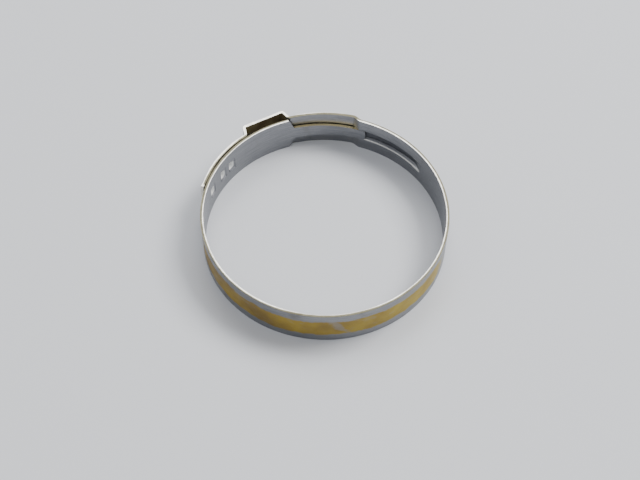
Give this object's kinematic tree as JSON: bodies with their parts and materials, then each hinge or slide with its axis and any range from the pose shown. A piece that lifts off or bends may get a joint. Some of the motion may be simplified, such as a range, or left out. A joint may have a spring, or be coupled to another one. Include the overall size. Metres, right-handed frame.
{
  "type": "hose clamp",
  "caption": "Stepless one-ear hose clamp: a thin steel band ring with an ear that is pinched shut, a tongue sliding in a channel, and hooked windows.",
  "frame": {"origin": "on the ring's axis, which is the hose's axis, at the level of the band's lower edge", "axes": "+Z along the ring's axis, away from the edge that it lies on; +Y from the axis through the ear; seen from +Z the tongue's channel is on the right of the ear and the hooks on its left"},
  "size_m": [0.0531, 0.0553, 0.009],
  "materials": {
    "bare_strip": "satin stamped steel strip with bright sheared edges",
    "striped_strip": "satin steel strip with a worn yellow colour-code stripe round its outer face"
  },
  "bodies": {
    "channel_section": {"outer_lap": "bare_strip", "upper_step": "bare_strip", "lower_step": "bare_strip", "upper_rail": "bare_strip", "lower_rail": "bare_strip", "channel_floor": "bare_strip", "channel_mouth": "bare_strip", "channel_ramp": "bare_strip", "hoop_start": "bare_strip"},
    "right_hoop": {"hoop_right": "striped_strip"},
    "left_hoop": {"hoop_left": "striped_strip"},
    "hook_section": {"hook_band": "bare_strip", "inner_strap": "bare_strip", "tongue": "bare_strip", "hook_front": "bare_strip", "hook_middle": "bare_strip", "guide_hook": "bare_strip"},
    "right_leg": {"ear_right_leg": "bare_strip"},
    "right_bridge": {"ear_right_bridge": "bare_strip"},
    "left_bridge": {"ear_left_bridge": "bare_strip"},
    "left_leg": {"ear_left_leg": "bare_strip"},
    "strap_section": {"outer_strap": "bare_strip", "strap_tip": "bare_strip"}
  },
  "joints": [
    {"name": "crimp", "type": "hinge", "parent": "channel_section", "child": "right_hoop", "pos_m": [0.02608, 0.00091, 0], "axis": [0, 0, -1], "range_deg": [0, 3.63]},
    {"name": "front_bend", "type": "hinge", "parent": "right_hoop", "child": "left_hoop", "pos_m": [-0.00741, -0.02503, 0], "axis": [0, 0, -1], "range_deg": [0, 2.72]},
    {"name": "hook_bend", "type": "hinge", "parent": "left_hoop", "child": "hook_section", "pos_m": [-0.02138, 0.01497, 0], "axis": [0, 0, -1], "range_deg": [0, 3.66]},
    {"name": "ear_right_foot", "type": "hinge", "parent": "channel_section", "child": "right_leg", "pos_m": [0.00538, 0.02666, 0], "axis": [0, 0, -1], "range_deg": [0, 74.79]},
    {"name": "ear_right_corner", "type": "hinge", "parent": "right_leg", "child": "right_bridge", "pos_m": [0.00453, 0.0283, 0], "axis": [0, 0, 1], "range_deg": [0, 49.68]},
    {"name": "ear_middle", "type": "hinge", "parent": "right_bridge", "child": "left_bridge", "pos_m": [0, 0.0283, 0], "axis": [0, 0, 1], "range_deg": [0, 30.2]},
    {"name": "ear_left_corner", "type": "hinge", "parent": "left_bridge", "child": "left_leg", "pos_m": [-0.0044, 0.0283, 0], "axis": [0, 0, 1], "range_deg": [0, 51.12]},
    {"name": "strap_lift", "type": "hinge", "parent": "hook_section", "child": "strap_section", "pos_m": [-0.00603, 0.02652, 0], "axis": [0, 0, -1], "range_deg": [0, 15]}
  ],
  "couplings": [
    {"joint": "front_bend", "follows": "crimp", "ratio": 0.747},
    {"joint": "hook_bend", "follows": "crimp", "ratio": 1.006},
    {"joint": "ear_right_foot", "follows": "crimp", "ratio": 20.537},
    {"joint": "ear_right_corner", "follows": "crimp", "ratio": 13.624},
    {"joint": "ear_middle", "follows": "crimp", "ratio": 8.2599},
    {"joint": "ear_left_corner", "follows": "crimp", "ratio": 14.02}
  ]
}
